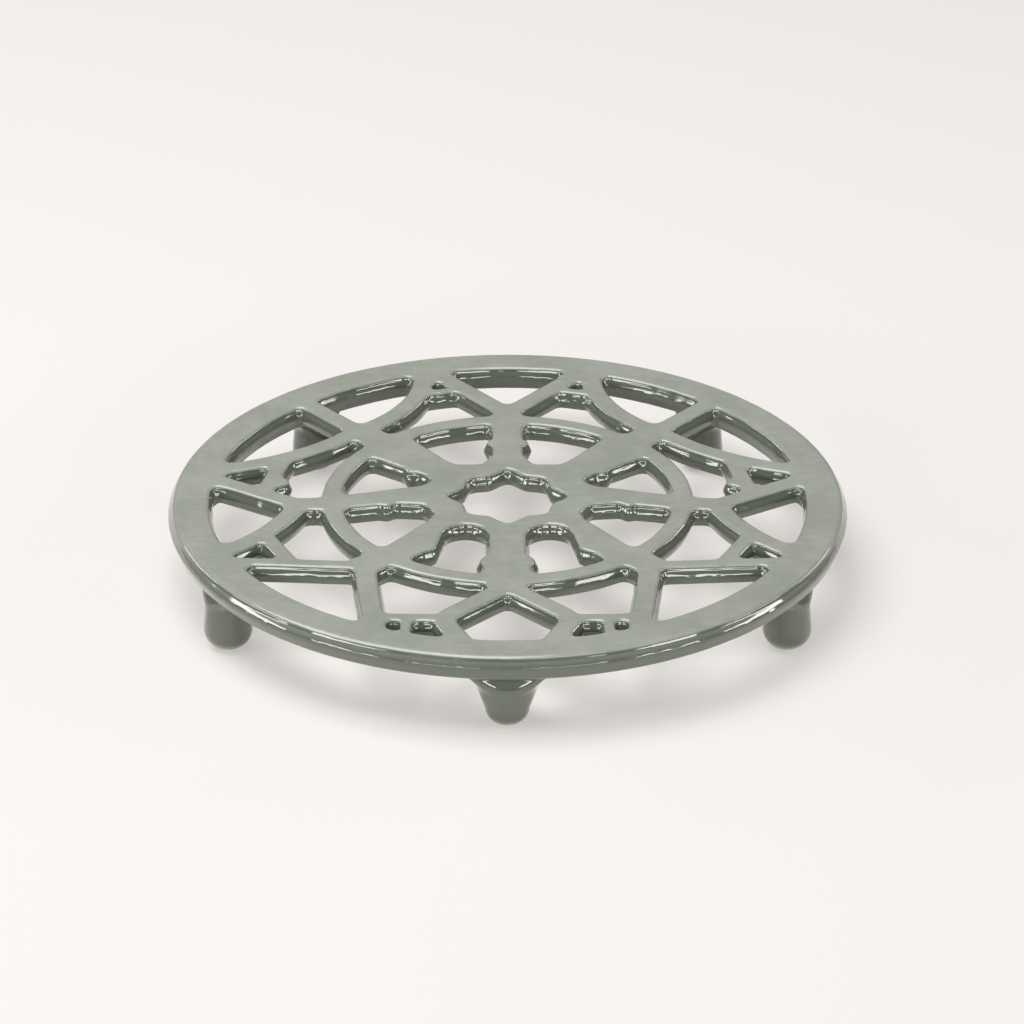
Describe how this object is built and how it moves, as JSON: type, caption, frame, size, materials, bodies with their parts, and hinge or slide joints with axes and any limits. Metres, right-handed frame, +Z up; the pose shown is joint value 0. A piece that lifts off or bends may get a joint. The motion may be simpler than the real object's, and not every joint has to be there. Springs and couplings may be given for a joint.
{
  "type": "trivet",
  "caption": "Round openwork cast-iron trivet in glossy sage enamel: rose-window lattice in a plain rim on short peg feet, holds a hot pot clear of the table.",
  "frame": {"origin": "centre of the trivet on the table plane, under the middle of the star window", "axes": "+Z up, -Y to the front foot, +X to the right as seen from the front"},
  "size_m": [0.203, 0.203, 0.0246],
  "materials": {
    "sage_enamel": "glossy porcelain enamel, sage grey-green, over cast iron"
  },
  "bodies": {
    "root": {"bar_left": "sage_enamel", "bar_right": "sage_enamel", "foot_back_left": "sage_enamel", "foot_back_right": "sage_enamel", "foot_front": "sage_enamel", "foot_left": "sage_enamel", "foot_right": "sage_enamel", "hub_star": "sage_enamel", "inner_ring": "sage_enamel", "rim": "sage_enamel", "spoke_back": "sage_enamel", "spoke_back_left": "sage_enamel", "spoke_back_right": "sage_enamel", "spoke_front": "sage_enamel", "spoke_front_left": "sage_enamel", "spoke_front_right": "sage_enamel", "spoke_left": "sage_enamel", "spoke_right": "sage_enamel", "strap_left_1": "sage_enamel", "strap_left_2": "sage_enamel", "strap_left_3": "sage_enamel", "strap_left_4": "sage_enamel", "strap_left_5": "sage_enamel", "strap_left_6": "sage_enamel", "strap_left_7": "sage_enamel", "strap_left_8": "sage_enamel", "strap_right_1": "sage_enamel", "strap_right_2": "sage_enamel", "strap_right_3": "sage_enamel", "strap_right_4": "sage_enamel", "strap_right_5": "sage_enamel", "strap_right_6": "sage_enamel", "strap_right_7": "sage_enamel", "strap_right_8": "sage_enamel", "web_left_1": "sage_enamel", "web_left_2": "sage_enamel", "web_left_3": "sage_enamel", "web_left_4": "sage_enamel", "web_right_1": "sage_enamel", "web_right_2": "sage_enamel", "web_right_3": "sage_enamel", "web_right_4": "sage_enamel"}
  },
  "joints": []
}
